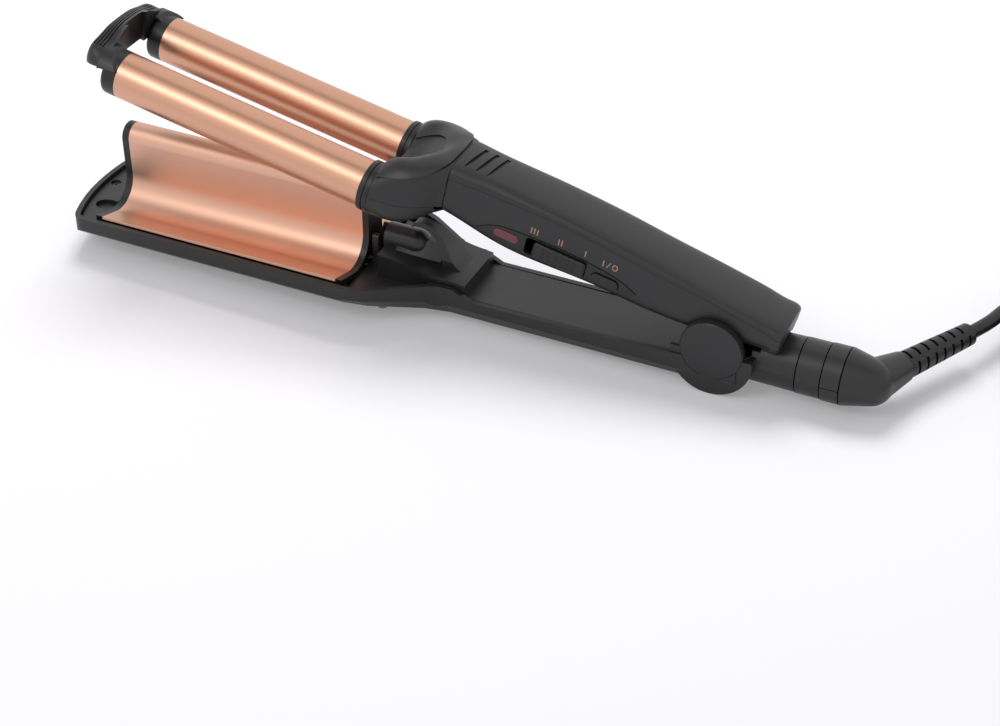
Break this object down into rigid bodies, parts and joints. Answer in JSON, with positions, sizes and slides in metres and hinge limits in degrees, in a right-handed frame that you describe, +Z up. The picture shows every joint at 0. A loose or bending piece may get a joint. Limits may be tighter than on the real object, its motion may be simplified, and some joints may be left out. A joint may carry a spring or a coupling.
{
  "type": "hair waver",
  "caption": "Hinged hair waver: two parallel heated barrels on a handle arm close into the troughs of a heated wave plate on the lower arm.",
  "frame": {"origin": "centre of the bounding box's base without the cord: on the table, midway between the tip of the lower arm and the cable elbow", "axes": "+X from the tip toward the cable, -Y toward the side with the controls, +Z up from the table"},
  "size_m": [0.5307, 0.1712, 0.1121],
  "materials": {
    "black_soft": "soft-touch matte black",
    "black_satin": "satin black plastic",
    "black_heatproof": "heat-resistant black plastic",
    "copper_coat": "satin copper-coloured coating on aluminium",
    "black_gloss": "semi-gloss black",
    "red_lens": "translucent red",
    "lamp": "red lamp",
    "heater_alu": "bare aluminium",
    "heater_ceramic": "ceramic heater in film",
    "spring_steel": "spring steel",
    "steel": "plated steel",
    "brass": "plain",
    "board": "green board",
    "parts_dark": "moulded black",
    "cord_black": "black PVC",
    "lead_insulation": "silicone sleeve"
  },
  "bodies": {
    "lower_arm": {"lower_shell": "black_soft", "arm_cover": "black_satin", "centring_guide": "black_satin", "guide_posts": "black_satin", "wave_plate": "copper_coat", "plate_front_cap": "black_heatproof", "plate_rear_cap": "black_heatproof", "plate_frame": "black_heatproof", "trough_heaters": "heater_ceramic", "heater_clamps": "spring_steel", "plate_thermal_fuse": "parts_dark", "arm_screws": "steel", "arm_wires": "lead_insulation", "hinge_pin": "steel", "hinge_cover_near": "black_satin", "hinge_cover_far": "black_satin", "hinge_spring": "spring_steel", "tail_cover": "black_satin", "tail_ring": "black_satin", "swivel_housing": "black_satin", "contact_block": "parts_dark"},
    "upper_arm": {"handle_top": "black_soft", "handle_bottom": "black_soft", "head_top": "black_soft", "head_bottom": "black_soft", "barrel_near": "copper_coat", "barrel_far": "copper_coat", "barrel_collar_near": "black_heatproof", "barrel_collar_far": "black_heatproof", "tip_cap_near": "black_heatproof", "tip_cap_far": "black_heatproof", "tip_bridge": "black_satin", "heat_spreaders": "heater_alu", "barrel_heaters": "heater_ceramic", "handle_wires": "lead_insulation", "hinge_bushes": "brass", "handle_screws": "steel", "control_panel": "black_gloss", "pilot_lens": "red_lens", "pilot_lamp": "lamp", "circuit_board": "board", "board_parts": "parts_dark", "slide_switch": "parts_dark", "push_switch": "parts_dark"},
    "slider": {"temperature_slider": "black_gloss"},
    "button": {"power_button": "black_gloss"},
    "cable_swivel": {"swivel_spindle": "parts_dark", "slip_rings": "brass", "swivel_elbow": "black_satin", "strain_relief": "cord_black", "cord": "cord_black", "cord_coil": "cord_black", "plug_body": "cord_black", "plug_pins": "brass"}
  },
  "joints": [
    {"name": "arm_hinge", "type": "hinge", "parent": "lower_arm", "child": "upper_arm", "pos_m": [0.12039, 0, 0.023], "axis": [0, -1, 0], "range_deg": [0, 12], "stiffness_Nm_per_rad": 2, "springref_deg": -25.78},
    {"name": "temperature_slide", "type": "slide", "parent": "upper_arm", "child": "slider", "axis": [-0.9781, 0, 0.2079], "range_m": [0, 0.004]},
    {"name": "power_press", "type": "slide", "parent": "upper_arm", "child": "button", "axis": [0, 1, 0], "range_m": [0, 0.001], "stiffness_N_per_m": 400},
    {"name": "cord_swivel", "type": "hinge", "parent": "lower_arm", "child": "cable_swivel", "pos_m": [0.17239, 0, 0.0155], "axis": [1, 0, 0], "continuous": true}
  ]
}
